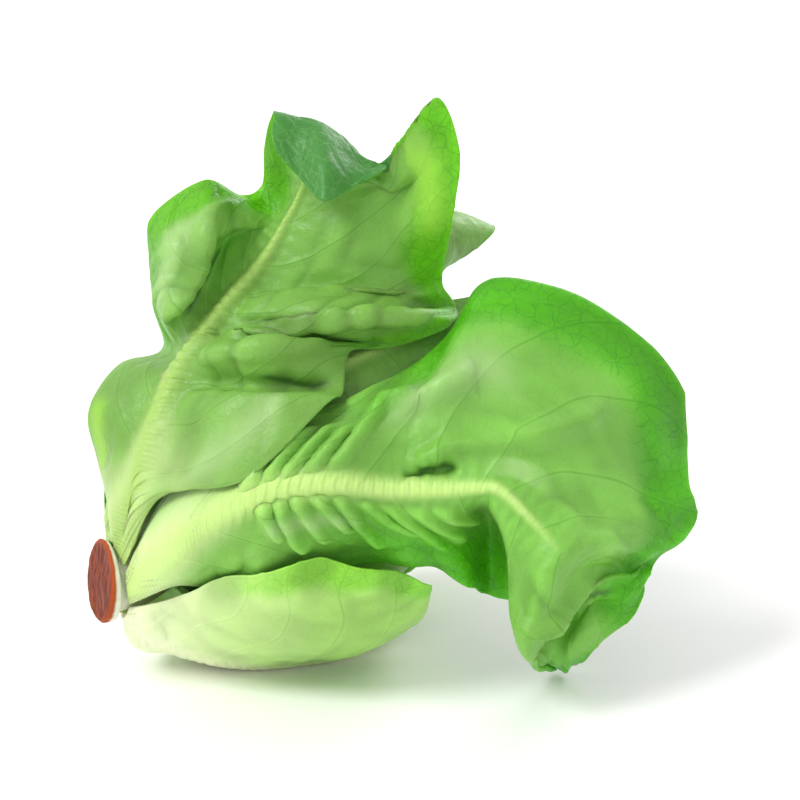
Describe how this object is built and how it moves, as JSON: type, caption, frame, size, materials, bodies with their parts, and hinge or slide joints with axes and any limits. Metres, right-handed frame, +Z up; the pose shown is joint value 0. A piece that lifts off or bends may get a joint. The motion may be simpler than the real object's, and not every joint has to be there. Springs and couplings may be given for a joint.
{
  "type": "head of lettuce",
  "caption": "Head of butterhead lettuce lying on its side, with a cut stem, open ruffled outer leaves and a folded heart.",
  "frame": {"origin": "centre of the bounding box, on the surface that the head lies on", "axes": "+Z up; +X along the lying head, from the cut stem towards the open end; -Y towards the side with the three large outer leaves"},
  "size_m": [0.2002, 0.172, 0.1915],
  "materials": {
    "green_leaf": "fresh outer leaf, waxy, veined, a little light comes through",
    "pale_leaf": "pale fleshy leaf base turning green at the margin",
    "wrapper_leaf": "light green inner leaf, waxy, veined",
    "heart_leaf": "yellow-green tender heart leaf",
    "cut_stem": "dried reddish-brown cut with paler flesh behind it"
  },
  "bodies": {
    "root": {"stem": "cut_stem", "outer_leaf_top": "green_leaf", "outer_leaf_front": "green_leaf", "outer_leaf_bottom": "pale_leaf", "outer_leaf_bottom_back": "green_leaf", "outer_leaf_back": "green_leaf", "outer_leaf_top_back": "green_leaf", "inner_leaf_top": "wrapper_leaf", "heart_leaf_1": "heart_leaf", "heart_leaf_2": "heart_leaf", "heart_leaf_3": "heart_leaf", "heart_leaf_4": "heart_leaf", "heart_leaf_5": "heart_leaf", "heart_leaf_6": "heart_leaf", "heart_leaf_7": "heart_leaf", "wrapper_leaf_1": "wrapper_leaf", "wrapper_leaf_2": "wrapper_leaf", "wrapper_leaf_3": "wrapper_leaf", "wrapper_leaf_4": "wrapper_leaf", "wrapper_leaf_5": "wrapper_leaf", "wrapper_leaf_6": "wrapper_leaf"}
  },
  "joints": []
}
